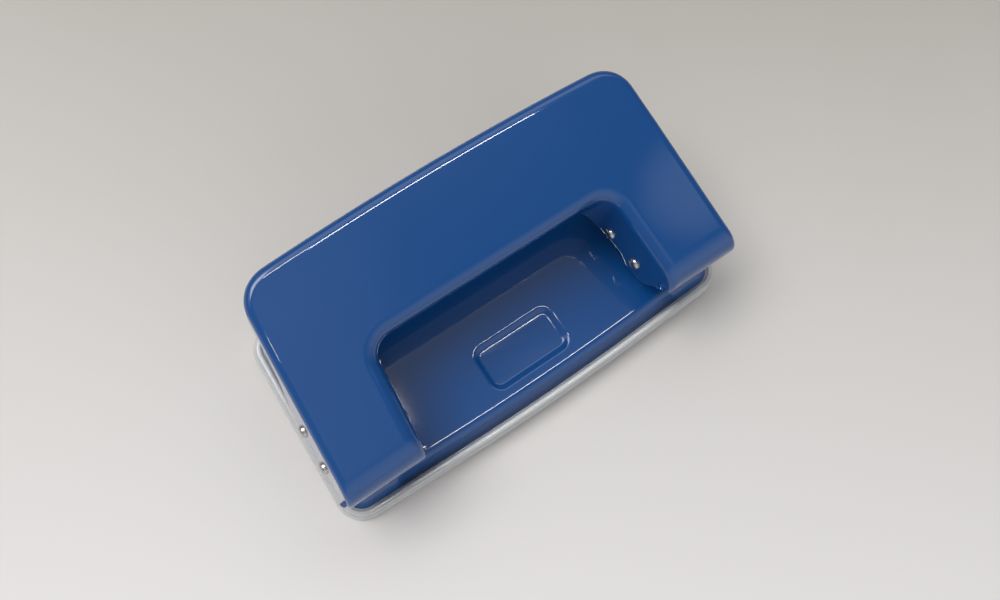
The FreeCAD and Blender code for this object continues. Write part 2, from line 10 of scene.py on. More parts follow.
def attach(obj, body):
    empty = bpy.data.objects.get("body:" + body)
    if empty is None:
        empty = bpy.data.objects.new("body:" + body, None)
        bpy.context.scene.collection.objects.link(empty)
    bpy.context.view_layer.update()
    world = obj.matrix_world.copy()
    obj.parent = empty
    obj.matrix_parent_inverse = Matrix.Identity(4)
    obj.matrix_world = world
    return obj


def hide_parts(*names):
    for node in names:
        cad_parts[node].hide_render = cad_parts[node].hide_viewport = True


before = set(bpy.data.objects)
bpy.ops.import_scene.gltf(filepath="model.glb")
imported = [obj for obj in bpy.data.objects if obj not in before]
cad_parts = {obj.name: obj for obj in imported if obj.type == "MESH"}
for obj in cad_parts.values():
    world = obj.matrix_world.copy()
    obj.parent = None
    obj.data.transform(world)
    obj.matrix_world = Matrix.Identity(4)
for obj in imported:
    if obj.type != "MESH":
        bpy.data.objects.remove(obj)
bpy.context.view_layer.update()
MM = 0.001

# Camera: the photograph is taken by hand from above, a little to the left and front of the middle.
# Its place and turn come from the two pins of each leg, the corners and the opening of the handle.
camera_place = Vector((-42.9, -23.6, 207.3)) * MM
camera_right = Vector((0.82024, -0.56071, 0.11316))
camera_up = Vector((0.52830, 0.81844, 0.22595))
camera_back = camera_right.cross(camera_up).normalized()
focal_length = 891.7
photo_width = 1000
sensor_width = 36.0
camera_data = bpy.data.cameras.new("photo_camera")
camera_data.sensor_width = sensor_width
camera_data.lens = focal_length / photo_width * sensor_width
camera_data.clip_start = 0.005
camera = bpy.data.objects.new("photo_camera", camera_data)
turned = Matrix((camera_right, camera_up, camera_back)).transposed()
camera.matrix_world = Matrix.Translation(camera_place) @ turned.to_4x4()
bpy.context.scene.collection.objects.link(camera)
bpy.context.scene.camera = camera
bpy.context.scene.view_settings.view_transform = "Standard"


class Value:
    """A number or colour on its way through a shader. Arithmetic on it adds the Math nodes."""

    def __init__(self, finish, socket):
        self.finish = finish
        self.socket = socket

    def work(self, operation, *terms):
        return self.finish.node("ShaderNodeMath", {"operation": operation}, dict(enumerate(terms)))[0]

    def __add__(self, other): return self.work("ADD", self, other)
    def __radd__(self, other): return self.work("ADD", other, self)
    def __sub__(self, other): return self.work("SUBTRACT", self, other)
    def __rsub__(self, other): return self.work("SUBTRACT", other, self)
    def __mul__(self, other): return self.work("MULTIPLY", self, other)
    def __rmul__(self, other): return self.work("MULTIPLY", other, self)

    def between(self, low, high):
        """0 at low, 1 at high, smooth between them."""
        settings = {"interpolation_type": "SMOOTHSTEP"}
        return self.finish.node("ShaderNodeMapRange", settings, {0: self, 1: low, 2: high})[0]


class Shading:
    """The nodes of one material or of the room's light."""

    def __init__(self, tree):
        self.tree = tree

    def node(self, kind, settings=None, sockets=None):
        made = self.tree.nodes.new(kind)
        for name, setting in (settings or {}).items():
            setattr(made, name, setting)
        for key, value in (sockets or {}).items():
            self.feed(made.inputs[key], value)
        return [Value(self, socket) for socket in made.outputs]

    def feed(self, target, value):
        if isinstance(value, Value):
            self.tree.links.new(value.socket, target)
        else:
            target.default_value = value


class Finish(Shading):
    """A material under construction: one Principled shader and the nodes that feed it."""

    def __init__(self, name, **fixed):
        self.material = bpy.data.materials.new(name)
        self.material.use_nodes = True
        super().__init__(self.material.node_tree)
        self.shader = self.tree.nodes["Principled BSDF"]
        self.set(**fixed)
        self.place = self.node("ShaderNodeTexCoord")[3]

    def set(self, **sockets):
        for name, value in sockets.items():
            self.feed(self.shader.inputs[name.replace("_", " ")], value)

    def noise(self, scale, detail=3.0, roughness=0.55, where=None):
        """Cloudy value from 0 to 1, with that many features in a metre."""
        sockets = {"Vector": where or self.place, "Scale": scale, "Detail": detail, "Roughness": roughness}
        return self.node("ShaderNodeTexNoise", {}, sockets)[0]

    def stretched(self, x, y, z):
        """The place on the object, stretched along the axes with a small factor."""
        return self.node("ShaderNodeMapping", {}, {"Vector": self.place, "Scale": (x, y, z)})[0]

    def mix(self, factor, first, second):
        """Colour that goes from first to second as factor goes from 0 to 1."""
        return self.node("ShaderNodeMix", {"data_type": "RGBA"}, {0: factor, 6: first, 7: second})[2]

    def bump(self, height, distance, strength=1.0):
        sockets = {"Height": height, "Distance": distance, "Strength": strength}
        self.set(Normal=self.node("ShaderNodeBump", {}, sockets)[0])


# Table top: a plain pale surface of painted board. Its colour holds painted shade: it grows darker towards the
# rear right, where the room's light falls off.
# It is only the stage, and no part of the punch.
floor_mesh = bpy.data.meshes.new("table_top")
floor_half = 3.0
floor_mesh.from_pydata([(-floor_half, -floor_half, 0), (floor_half, -floor_half, 0),
                        (floor_half, floor_half, 0), (-floor_half, floor_half, 0)], [], [(0, 1, 2, 3)])
floor = bpy.data.objects.new("table_top", floor_mesh)
bpy.context.scene.collection.objects.link(floor)
table = Finish("table_paper", Roughness=0.75, Specular_IOR_Level=0.2)
across = table.node("ShaderNodeSeparateXYZ", {}, {0: table.place})
across_table = across[0] * 0.57 + across[1] * 0.82
# Painted shade: the table's colour darkens from the front left to the rear right in place of the room's light
# falling off there.
painted_falloff = table.node("ShaderNodeMapRange", {}, {0: across_table, 1: -0.12, 2: 0.12})[0]
shade = table.mix(painted_falloff, (0.83, 0.80, 0.80, 1), (0.35, 0.325, 0.28, 1))
table.set(Base_Color=table.mix(table.noise(9.0) * 0.25, shade, (0.66, 0.65, 0.64, 1)))
floor_mesh.materials.append(table.material)

# Room: what the paint and the clear tray reflect. It is dim, with bright windows at the rear, a pale wall
# in front and small ceiling lamps, which draw the thin light lines along the folds.
room = bpy.data.worlds.new("room")
bpy.context.scene.world = room
room.use_nodes = True
sky = Shading(room.node_tree)
direction = sky.node("ShaderNodeTexCoord")[0]


def glow(towards, reach):
    """1 in the direction towards and 0 from reach radians away from it."""
    aim = Vector(towards).normalized()
    cosine = sky.node("ShaderNodeVectorMath", {"operation": "DOT_PRODUCT"}, {0: direction, 1: aim})[1]
    return cosine.between(math.cos(reach), 1.0)


sky_x, sky_y, sky_z = sky.node("ShaderNodeSeparateXYZ", {}, {0: direction})[:3]
rear_windows = sky_y.between(0.03, 0.35) * sky_z.between(0.40, 0.75) * 1.5
left_wall = (0.0 - sky_x).between(0.0, 0.9) * 0.15
front_wall = (0.0 - sky_y).between(0.30, 0.90) * 0.8
overhead = glow((-0.14, -0.26, 0.95), 0.34) * 0.45
right_spot = glow((0.45, -0.31, 0.84), 0.07) * 0.8
brightness = rear_windows + left_wall + front_wall + overhead + right_spot + 0.19
room_colour = (0.96, 0.98, 1.0, 1)
room_light = sky.node("ShaderNodeBackground", {}, {"Color": room_colour, "Strength": brightness})[0]
seen = sky.node("ShaderNodeBackground", {}, {"Color": (0.78, 0.77, 0.75, 1)})[0]
camera_ray = sky.node("ShaderNodeLightPath")[0]
chosen = sky.node("ShaderNodeMixShader", {}, {0: camera_ray, 1: room_light, 2: seen})[0]
sky.feed(room.node_tree.nodes["World Output"].inputs[0], chosen)


def soft_light(name, place, width, height, radiance, colour, gloss=True, diffuse=True):
    """Rectangular lamp that faces the punch. Without diffuse it shows only as a reflection on shiny faces."""
    lamp = bpy.data.lights.new(name, "AREA")
    lamp.shape = "RECTANGLE"
    lamp.size, lamp.size_y = width, height
    lamp.energy = radiance * math.pi * width * height
    lamp.color = colour
    holder = bpy.data.objects.new(name, lamp)
    back = Vector(place).normalized()
    side = Vector((0, 1, 0)).cross(back).normalized()
    axes = Matrix((side, back.cross(side), back)).transposed()
    holder.matrix_world = Matrix.Translation(place) @ axes.to_4x4()
    holder.visible_diffuse, holder.visible_glossy = diffuse, gloss
    bpy.context.scene.collection.objects.link(holder)


soft_light("ceiling_light", (-0.35, 0.45, 1.0), 0.6, 0.5, 6.5, (1.0, 0.99, 0.97))
soft_light("front_fill", (-0.1, -1.0, 0.22), 1.2, 0.4, 0.5, (1.0, 0.99, 0.98), gloss=False)
soft_light("ceiling_tube", (0.31, -0.075, 1.46), 0.49, 0.10, 36.0, (1.0, 1.0, 1.0), diffuse=False)
soft_light("second_tube", (-0.02, 0.085, 0.99), 0.10, 0.05, 36.0, (1.0, 1.0, 1.0), diffuse=False)
soft_light("wall_lamp", (-0.45, -0.17, 0.87), 0.03, 0.03, 60.0, (1.0, 1.0, 1.0), diffuse=False)


# Handle: one piece of 1 mm sheet steel, drawn and folded down all round and stoved in blue enamel.
# The grip bar lies across the rear. Two legs run to the front, roll down over the punch heads and
# end in a bare sheet edge. Their deep side walls are the ears that hold the pins.
sheet = 1.0
slope = 0.24
top_at_origin = 31.2
leg_front = -18.6
leg_edge = 20.6
roll_radius = 6.5
edge_round = 2.0
ear_flare = 0.12
flare_room = 0.9
inner_edge_round = 3.0
front_corner_round = 0.7
grip_start = 12.0
rear_corner_y = 28.9
rear_corner_round = 8.0
rear_peak_y = 31.0
rear_bow = 780.0
inner_side_end = -2.0
opening_rear = 6.0
opening_corner_round = 5.0
lean = math.atan(slope)
along_slope, up_slope = math.cos(lean), math.sin(lean)
roll_turn = math.pi / 2 - lean
roll_reach = roll_radius * math.tan(roll_turn / 2)
roll_bottom = top_at_origin + slope * leg_front - roll_reach
roll_start = roll_bottom - leg_edge
roll_end = roll_start + roll_radius * roll_turn
roll_end_y = leg_front + roll_reach * along_slope
roll_middle_y = leg_front + roll_radius


def rounded(corners, per_arc=24, per_side=12):
    """Open path along straight sides with a tangent arc of the given radius at each inner corner.

    corners is a list of (a, b, radius). Each side and each arc gets a fixed number of points.
    """
    spots = np.array([c[:2] for c in corners], float)
    last, runs = spots[0], []
    for k in range(1, len(corners) - 1):
        here, radius = spots[k], corners[k][2]
        back = (spots[k - 1] - here) / np.linalg.norm(spots[k - 1] - here)
        ahead = (spots[k + 1] - here) / np.linalg.norm(spots[k + 1] - here)
        half = math.acos(float(back @ ahead)) / 2
        start, end = here + back * radius / math.tan(half), here + ahead * radius / math.tan(half)
        centre = here + (back + ahead) / np.linalg.norm(back + ahead) * radius / math.sin(half)
        runs.append(last + (start - last) * np.linspace(0, 1, per_side, endpoint=False)[:, None])
        sweep = math.pi - 2 * half
        share = np.linspace(0, 1, per_arc, endpoint=False)[:, None]
        arms = (np.sin((1 - share) * sweep) * (start - centre) + np.sin(share * sweep) * (end - centre))
        runs.append(centre + arms / math.sin(sweep))
        last = end
    runs.append(last + (spots[-1] - last) * np.linspace(0, 1, per_side + 1)[:, None])
    return np.concatenate(runs)


def top_line(w):
    """Place (y, z) on the handle's top line, w mm up from the leg's front edge, and its direction there."""
    turn = np.clip((w - roll_start) / roll_radius, 0, roll_turn)
    beyond = np.maximum(w - roll_end, 0)
    before = np.minimum(w, roll_start)
    y = roll_middle_y - roll_radius * np.cos(turn) + beyond * along_slope
    z = leg_edge + before + roll_radius * np.sin(turn) + beyond * up_slope
    return y, z, np.sin(turn), np.cos(turn)


def height_to_run(y):
    """The w at which the sloping part of the top line passes y."""
    return roll_end + (y - roll_end_y) / along_slope


def outer_half(y):
    return 50.1 - 3.9 / 49.6 * (y + 8.43)


def inner_half(y):
    return 30.95 - 2.3 / 24.6 * (y + 8.43)


def sunk(y, z):
    """How far a point lies below the plane of the handle's top."""
    return np.maximum(top_at_origin + slope * y - z, 0) * along_slope


def ear_half(y, z):
    """Distance of the flared ear's outer face from the middle plane."""
    return outer_half(y) - flare_room + ear_flare * sunk(y, z)


def leg_side(half, y_end, narrower=0.0, flare=0.0):
    """Side of the right leg as (x, w) from its front edge over the roll up to y_end."""
    w = np.concatenate([np.linspace(0, roll_end, 22, endpoint=False),
                        np.linspace(roll_end, height_to_run(y_end), 26, endpoint=False)])
    y, z = top_line(w)[:2]
    return np.column_stack([half(y) - narrower + flare * sunk(y, z), w])


def mirrored_path(side, rest):
    """Side of the right leg and the bend to the middle line, then the same mirrored to the left leg."""
    right = np.concatenate([side, np.column_stack([rest[:, 0], height_to_run(rest[:, 1])])])
    return np.concatenate([right, (right * (-1, 1))[-2::-1]])


rear_half = outer_half(rear_peak_y) - flare_room
arc_points, side_points = 24, 10
outer_bend = rounded([(outer_half(grip_start) - flare_room, grip_start, 0),
                      (rear_half, rear_corner_y, rear_corner_round),
                      (0, rear_peak_y, rear_bow), (-rear_half, rear_corner_y, 0)], arc_points, side_points)
inner_bend = rounded([(inner_half(inner_side_end), inner_side_end, 0),
                      (inner_half(opening_rear), opening_rear, opening_corner_round),
                      (0, opening_rear, 0)], arc_points, side_points)
outer_bend = outer_bend[outer_bend[:, 0] > 1e-6]
inner_bend = inner_bend[inner_bend[:, 0] > 1e-6]


def resampled(path, count):
    """The same path with its points spread evenly along it."""
    length = np.concatenate([[0], np.cumsum(np.linalg.norm(np.diff(path, axis=0), axis=1))])
    even = np.linspace(0, length[-1], count)
    return np.column_stack([np.interp(even, length, path[:, k]) for k in (0, 1)])


def to_middle(bend, middle_y):
    """Side run, corner arc and rear run of a bend, each with its own even points, ending on the middle line."""
    arc_end = side_points + arc_points
    side_run = resampled(bend[:side_points + 1], 9)[:-1]
    rear_run = resampled(np.concatenate([bend[arc_end:], [(0.0, middle_y)]]), 45)
    return np.concatenate([side_run, bend[side_points:arc_end], rear_run])


bow_middle = rear_peak_y - rear_bow * (1 / math.cos(math.atan(2.1 / 47.0)) - 1)
outer_side = leg_side(outer_half, grip_start, flare_room, ear_flare)
inner_side = leg_side(inner_half, inner_side_end)
outer_path = mirrored_path(outer_side, to_middle(outer_bend, bow_middle))
inner_path = mirrored_path(inner_side, to_middle(inner_bend, opening_rear))

# The walls' lower edge (y, z): front slant, pivot lobe, step up to the drive pin, rear slope, grip flange.
ear_line = rounded([(-17.73, 20.6, 0), (-12.83, 11.7, 4.0), (-7.43, 11.7, 2.0), (-4.43, 14.4, 2.0),
                    (3.84, 14.4, 2.0), (12.0, 28.58, 4.0), (60.0, 40.1, 0)], 16, 12)


def wall_foot(y_top, w):
    """Lower edge (y, z) of the wall below a point of the top edge.

    Behind the roll it lies straight below. Over the roll it runs along the ear's front slant.
    """
    z = np.interp(y_top, ear_line[:, 0], ear_line[:, 1])
    join_y = -10.0
    start_y = leg_front + front_corner_round + 1.3
    slant = ear_line[(ear_line[:, 0] > start_y + 0.3) & (ear_line[:, 0] < join_y)]
    slant = np.concatenate([[(start_y, leg_edge - 0.1)], slant])
    run = np.concatenate([[0], np.cumsum(np.linalg.norm(np.diff(slant, axis=0), axis=1))])
    on_roll = y_top < join_y
    share = np.clip(w / height_to_run(join_y), 0, 1) * run[-1]
    return (np.where(on_roll, np.interp(share, run, slant[:, 0]), y_top),
            np.where(on_roll, np.interp(share, run, slant[:, 1]), z))


def edge_and_wall(path, outward_sign, bend, flare, undercut=0.0, fillet_rows=9, wall_rows=13):
    """Rows of points from the skin, over the rounded edge, down the wall to its lower edge.

    The edge is an arc of radius bend between the skin's outward direction and the wall's downward one, and
    gets tighter over the roll. Each wall point lies on the straight line from the arc's end to the foot.
    """
    along = np.gradient(path, axis=0)
    along /= np.linalg.norm(along, axis=1)[:, None]
    out = np.column_stack([along[:, 1], -along[:, 0]]) * outward_sign
    y, z, rise, run = top_line(path[:, 1])
    point = np.column_stack([path[:, 0], y, z])
    forward = np.column_stack([np.zeros_like(y), rise, run])
    normal = np.column_stack([np.zeros_like(y), -run, rise])
    outward = out[:, :1] * np.array([1.0, 0, 0]) + out[:, 1:] * forward
    sideways = 1 - out[:, 1:] ** 2
    down = -normal - slope * out[:, 1:] ** 2 * forward + flare * sideways * outward
    down /= np.linalg.norm(down, axis=1)[:, None]
    cosine = np.sum(outward * down, axis=1)[:, None]
    turn = np.arccos(cosine)
    inward = (down - cosine * outward) / np.sin(turn)
    bend = front_corner_round + (bend - front_corner_round) * np.clip(path[:, 1:] / roll_end, 0, 1)
    start = point - bend * np.tan(turn / 2) * outward
    rows = [start + bend * (np.sin(turn * f) * outward + (1 - np.cos(turn * f)) * inward)
            for f in np.linspace(0, 1, fillet_rows)]
    end = rows[-1]
    foot_y, foot_z = wall_foot(end[:, 1], path[:, 1])
    extra = flare * sideways[:, 0] * np.maximum(sunk(foot_y, foot_z) - sunk(end[:, 1], end[:, 2]), 0)
    tucked = undercut * out[:, 1] ** 2 * (end[:, 1] > 0) * (end[:, 2] - foot_z)
    foot = np.column_stack([end[:, 0] + np.sign(out[:, 0]) * extra, foot_y + tucked, foot_z])
    rows += [end + (foot - end) * f for f in np.linspace(0, 1, wall_rows)[1:]]
    return np.array(rows)


def skin(name, rows, around=False):
    """Mesh whose point [v, u] has the neighbours v +- 1 and u +- 1. around joins the last u to the first."""
    rows = np.asarray(rows) * MM
    count_v, count_u = rows.shape[:2]
    index = np.arange(count_v * count_u).reshape(count_v, count_u)
    if around:
        index = np.concatenate([index, index[:, :1]], axis=1)
    faces = np.stack([index[:-1, :-1], index[:-1, 1:], index[1:, 1:], index[1:, :-1]], axis=-1)
    mesh = bpy.data.meshes.new(name)
    mesh.from_pydata(rows.reshape(-1, 3).tolist(), [], faces.reshape(-1, 4).tolist())
    piece = bpy.data.objects.new(name, mesh)
    bpy.context.scene.collection.objects.link(piece)
    return piece


def thicken(piece, thickness, bevel=0.0):
    """Gives a sheet its thickness on the side away from its normals, and breaks its bare edges."""
    solid = piece.modifiers.new("thickness", "SOLIDIFY")
    solid.thickness = thickness * MM
    solid.offset = -1
    if bevel:
        soft = piece.modifiers.new("broken_edges", "BEVEL")
        soft.width = bevel * MM
        soft.segments = 2
        soft.limit_method = "ANGLE"
        soft.angle_limit = math.radians(50)


def settle(piece, sharp=40):
    """Applies the modifiers, then shades smooth but for edges steeper than that many degrees."""
    shape = bpy.data.meshes.new_from_object(piece.evaluated_get(bpy.context.evaluated_depsgraph_get()))
    piece.modifiers.clear()
    piece.data = shape
    shape.shade_smooth()
    shape.set_sharp_from_angle(angle=math.radians(sharp))


def clean(piece, merge=0.01, outward=None):
    """Merges doubled points. outward=(x, y, z) flips a sheet whose normals mostly point the other way."""
    grid = bmesh.new()
    grid.from_mesh(piece.data)
    bmesh.ops.remove_doubles(grid, verts=grid.verts, dist=merge * MM)
    bmesh.ops.dissolve_degenerate(grid, edges=grid.edges, dist=merge * MM / 10)
    if outward is None:
        bmesh.ops.recalc_face_normals(grid, faces=grid.faces)
    elif sum(f.normal.dot(Vector(outward)) * f.calc_area() for f in grid.faces) < 0:
        bmesh.ops.reverse_faces(grid, faces=grid.faces)
    grid.to_mesh(piece.data)
    grid.free()


enamel = Finish("blue_enamel", Specular_IOR_Level=0.05, Coat_Weight=1.0, Coat_Roughness=0.05, Coat_IOR=1.5)
deep_blue = (0.0032, 0.054, 0.205, 1)
light_blue = (0.0044, 0.062, 0.228, 1)
flow = enamel.noise(38.0, 2.0)
peel = enamel.noise(1500.0, 1.0)
dust = enamel.noise(5200.0, 2.0).between(0.74, 0.80)
tone = enamel.mix(flow, deep_blue, light_blue)
enamel.set(Base_Color=enamel.mix(dust * 0.25, tone, (0.06, 0.12, 0.26, 1)))
enamel.set(Roughness=0.30 + flow * 0.08 + dust * 0.2)
enamel.bump(peel * 0.1 + flow * 1.5, 0.00002)

outer_rows = edge_and_wall(outer_path, 1.0, edge_round, ear_flare)
inner_rows = edge_and_wall(inner_path, -1.0, inner_edge_round, 0.0, undercut=0.16)


def chart(edge_row, path):
    """Chart place (x, w) where the rounded edge meets the skin."""
    w = np.where(path[:, 1] > roll_end, height_to_run(edge_row[:, 1]), path[:, 1])
    return np.column_stack([edge_row[:, 0], w])


inner_chart, outer_chart = chart(inner_rows[0], inner_path), chart(outer_rows[0], outer_path)
across_leg = np.concatenate([[0.012], np.linspace(0, 1, 13)[1:-1], [0.988]])[:, None, None]
middle_chart = inner_chart + (outer_chart - inner_chart) * across_leg
middle_y, middle_z = top_line(middle_chart[..., 1])[:2]
top_rows = np.stack([middle_chart[..., 0], middle_y, middle_z], axis=-1)
handle = skin("handle_shell", np.concatenate([inner_rows[::-1], top_rows, outer_rows]))
clean(handle, 0.005, outward=(0, 0, 1))
thicken(handle, sheet, 0.12)
settle(handle)
handle.data.materials.clear()
handle.data.materials.append(enamel.material)
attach(handle, "handle")
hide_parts("handle")


# Base plate: a shallow pressed tray turned upside down, in the same enamel. Its skirt leans in towards the
# plate, and a rounded panel is pressed down in the middle. Two holes take the dies.
base_top = 8.7
skirt_bottom = 3.0
skirt_lean = 2.6
skirt_round = 2.0
base_sheet = 1.2
panel_depth = 0.8
panel_wall = 1.8
die_hole = 4.52
station = 40.0
bow_radius = 700.0


def ring(corners, per_arc=14, per_side=26):
    """Closed path with a tangent arc at every corner (a, b, radius) and a fixed number of points."""
    spots = np.array([c[:2] for c in corners], float)
    middle = (spots[-1] + spots[0]) / 2
    return rounded([(*middle, 0), *corners, (*middle, 0)], per_arc, per_side)[:-1]


def base_ring(grow):
    """The base's outline with every side moved out by grow. Its corners tighten only half as fast inwards."""
    front = -20.0 - grow
    corner = 4.0 + (grow if grow > 0 else grow / 2)
    return ring([(-51.2 - grow, front, corner), (0, front - 1.9, bow_radius), (51.2 + grow, front, corner),
                 (48.6 + grow, 25.0 + grow, corner), (-48.6 - grow, 25.0 + grow, corner)])


def panel_ring(grow):
    """The sunk panel's outline, with as many points as the base's."""
    near, far, half, corner = -15.2 - grow, -4.4 + grow, 10.4 + grow, 2.6 + grow
    return ring([(-half, near, corner), (0, near - 0.001, 5.0), (half, near, corner),
                 (half, far, corner), (-half, far, corner)])


def at_height(path, z):
    return np.column_stack([path, np.broadcast_to(z, len(path))])


def plate_rows(top, skirt_inset, bend, grow):
    """Rings from the skirt's foot up its side, over the bend, across the plate and down to the panel's floor.

    The panel's wall is an S: its depth goes with 3 f^2 - 2 f^3 as f goes from 0 at its rim to 1 at its floor.
    """
    shoulder = skirt_inset + skirt_lean
    side = rounded([(skirt_inset, skirt_bottom, 0), (shoulder, top, bend), (shoulder + 1.6, top, 0)], 9, 6)
    rows = [at_height(base_ring(-inset), z) for inset, z in side]
    plate_edge, panel_edge = rows[-1], at_height(panel_ring(0.6 + grow), top)
    rows += [plate_edge + (panel_edge - plate_edge) * f for f in [0.01, 0.2, 0.4, 0.6, 0.8, 0.99, 1]]
    for f in np.linspace(0, 1, 13)[1:]:
        drop = panel_depth * f * f * (3 - 2 * f)
        rows.append(at_height(panel_ring(0.6 + grow - panel_wall * f), top - drop))
    return rows


def closed_skin(name, rows):
    """Solid whose rings of points are closed at the first and the last with a flat face."""
    piece = skin(name, rows, around=True)
    grid = bmesh.new()
    grid.from_mesh(piece.data)
    bmesh.ops.holes_fill(grid, edges=[e for e in grid.edges if e.is_boundary], sides=0)
    bmesh.ops.recalc_face_normals(grid, faces=grid.faces)
    grid.to_mesh(piece.data)
    grid.free()
    return piece


underside = plate_rows(base_top - base_sheet, base_sheet * 0.95, skirt_round - base_sheet, 0.5)
base = closed_skin("base_shell", underside[::-1] + plate_rows(base_top, 0, skirt_round, 0))


def punch_out(piece, x, y, radius, low, high):
    """Cuts a round hole straight through a piece."""
    turns = np.linspace(0, 2 * np.pi, 96, endpoint=False)
    circle = np.column_stack([x + radius * np.cos(turns), y + radius * np.sin(turns)])
    slug = closed_skin(f"{piece.name}_slug", [at_height(circle, low), at_height(circle, high)])
    cut = piece.modifiers.new("hole", "BOOLEAN")
    cut.operation = "DIFFERENCE"
    cut.solver = "EXACT"
    cut.object = slug
    return slug


slugs = [punch_out(base, side * station, 0, die_hole, 6.0, 10.0) for side in (-1, 1)]
settle(base)
for slug in slugs:
    bpy.data.objects.remove(slug)
base.data.materials.clear()
base.data.materials.append(enamel.material)
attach(base, "base")
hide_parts("base_plate")


# Chip tray: a thin clear pan, moulded in one piece. Its wall holds the skirt from outside and has a small
# foot flange. At the front the wall rises to a lip, by which a thumb pulls the tray off.
rim_height = 3.8
lip_rise = 2.2
lip_half = 39.7
lip_end = 1.6

tray_path = base_ring(0)
lip = np.clip((lip_half - np.abs(tray_path[:, 0])) / lip_end, 0, 1) * (tray_path[:, 1] < -15)
lip = np.sqrt(1 - (1 - lip) ** 2)
rim = rim_height + lip_rise * lip
# Section as (grow, height, share of the rim's height), from the foot up the outside and down the inside.
tray_section = [(1.8, 0, 0), (2.25, 0.1, 0), (2.4, 0.35, 0), (2.4, 0.95, 0), (2.3, 1.15, 0), (2.05, 1.25, 0),
                (1.85, 1.4, 0), (1.75, 1.7, 0), (1.7, -1.0, 1), (1.65, -0.4, 1), (1.55, -0.12, 1),
                (1.35, 0, 1), (0.75, 0, 1), (0.55, -0.06, 1), (0.42, -0.2, 1), (0.35, -0.45, 1),
                (0.25, 3.1, 0), (0.15, 2.98, 0), (-2.0, 2.98, 0), (-2.3, 2.9, 0), (-2.45, 2.6, 0),
                (-2.6, 1.6, 0), (-2.8, 1.3, 0), (-3.2, 1.2, 0)]
tray_rows = [at_height(base_ring(grow), z + rim * follows) for grow, z, follows in tray_section]
tray = closed_skin("tray_shell", tray_rows)
settle(tray, 50)
clear = Finish("clear_plastic", Transmission_Weight=0.40, IOR=1.49, Specular_IOR_Level=0.5)
scuff = clear.noise(900.0, 3.0).between(0.5, 0.75)
clear.set(Base_Color=clear.mix(scuff, (0.80, 0.81, 0.82, 1), (0.72, 0.73, 0.74, 1)))
clear.set(Roughness=0.12 + scuff * 0.12)
clear.bump(clear.noise(160.0, 2.0) + scuff * 0.2, 0.00003)
tray.data.materials.append(clear.material)
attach(tray, "chip_tray")
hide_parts("chip_tray")


# Pins: nickel-plated steel, pressed through both ears of a leg. Their ends are peened to low domes.
# The pin nearest the front is the pivot, and the one behind it drives the cutter.
pin_radius = 1.5
pin_stand = 0.8
pivot_y, pivot_z = -8.43, 16.4
drive_y, drive_z = 0.24, 17.0
dome = [(0, 0), (0.55, 0.04), (0.95, 0.14), (1.25, 0.3), (1.43, 0.5), (pin_radius, 0.75)]


def turned_piece(name, profile, place, axis, segments=64):
    """Lathe work: profile (radius, along) turned round the line through place along X or Z."""
    profile = np.array(profile, float)
    turns = np.linspace(0, 2 * np.pi, segments, endpoint=False)
    radius, along = profile[:, :1], np.repeat(profile[:, 1:], segments, axis=1)
    first, second = radius * np.cos(turns), radius * np.sin(turns)
    order = (along, first, second) if axis == "X" else (first, second, along)
    piece = skin(name, np.stack(order, axis=-1) + np.array(place), around=True)
    clean(piece, 0.001)
    settle(piece, 45)
    return piece


nickel = Finish("nickel_plate", Base_Color=(0.72, 0.71, 0.69, 1), Metallic=1.0)
wear = nickel.noise(2600.0, 4.0)
lines = nickel.noise(900.0, 2.0, where=nickel.stretched(12.0, 1.0, 1.0))
nickel.set(Roughness=0.14 + wear * 0.14 + lines * 0.06)
nickel.set(Base_Color=nickel.mix(wear, (0.40, 0.38, 0.36, 1), (0.56, 0.54, 0.51, 1)))
nickel.bump(wear + lines, 0.000006)

sides = (("left", -1), ("right", 1))
for side, sign in sides:
    for kind, y, z in (("pivot_pin", pivot_y, pivot_z), ("drive_pin", drive_y, drive_z)):
        near, far = inner_half(y) - pin_stand, ear_half(y, z) + pin_stand
        profile = [(r, far - a) for r, a in dome] + [(r, near + a) for r, a in dome[::-1]]
        profile = [(r, sign * x) for r, x in profile]
        pin = turned_piece(f"{kind}_{side}_turned", profile, (0, y, z), "X")
        pin.data.materials.append(nickel.material)
        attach(pin, "handle")
        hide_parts(f"{kind}_{side}")


# Rivets: two in the foot of each bracket, with low domed heads above and a closed tail under the plate.
foot_top = 10.2
plate_under = 7.5
rivet_y = 17.2
rivet_section = [(0, 11.3), (0.7, 11.26), (1.3, 11.1), (1.8, 10.8), (2.15, 10.45), (2.3, foot_top),
                 (1.25, foot_top), (1.25, plate_under), (1.9, plate_under), (1.9, 7.1), (1.7, 6.85),
                 (1.3, 6.8), (0, 6.8)]
for side, sign in sides:
    for kind, offset in (("inner", -3.8), ("outer", 3.8)):
        rivet_place = (sign * (station + offset), rivet_y, 0)
        rivet = turned_piece(f"rivet_{side}_{kind}_turned", rivet_section, rivet_place, "Z")
        rivet.data.materials.append(nickel.material)
        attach(rivet, "base")
        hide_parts(f"rivet_{side}_{kind}")


# Return springs: each a torsion coil of drawn steel wire round the pivot pin. The short leg stands on the
# guide plate and the long one lies under the handle's top, so that the handle lifts by itself.
wire_radius = 0.45
coil_radius = 2.25
coil_pitch = 1.4
coil_start_x = 35.7
coil_from, coil_to = math.radians(-120), math.radians(-205 - 360 * 4)
short_leg, long_leg = 3.8, 11.7


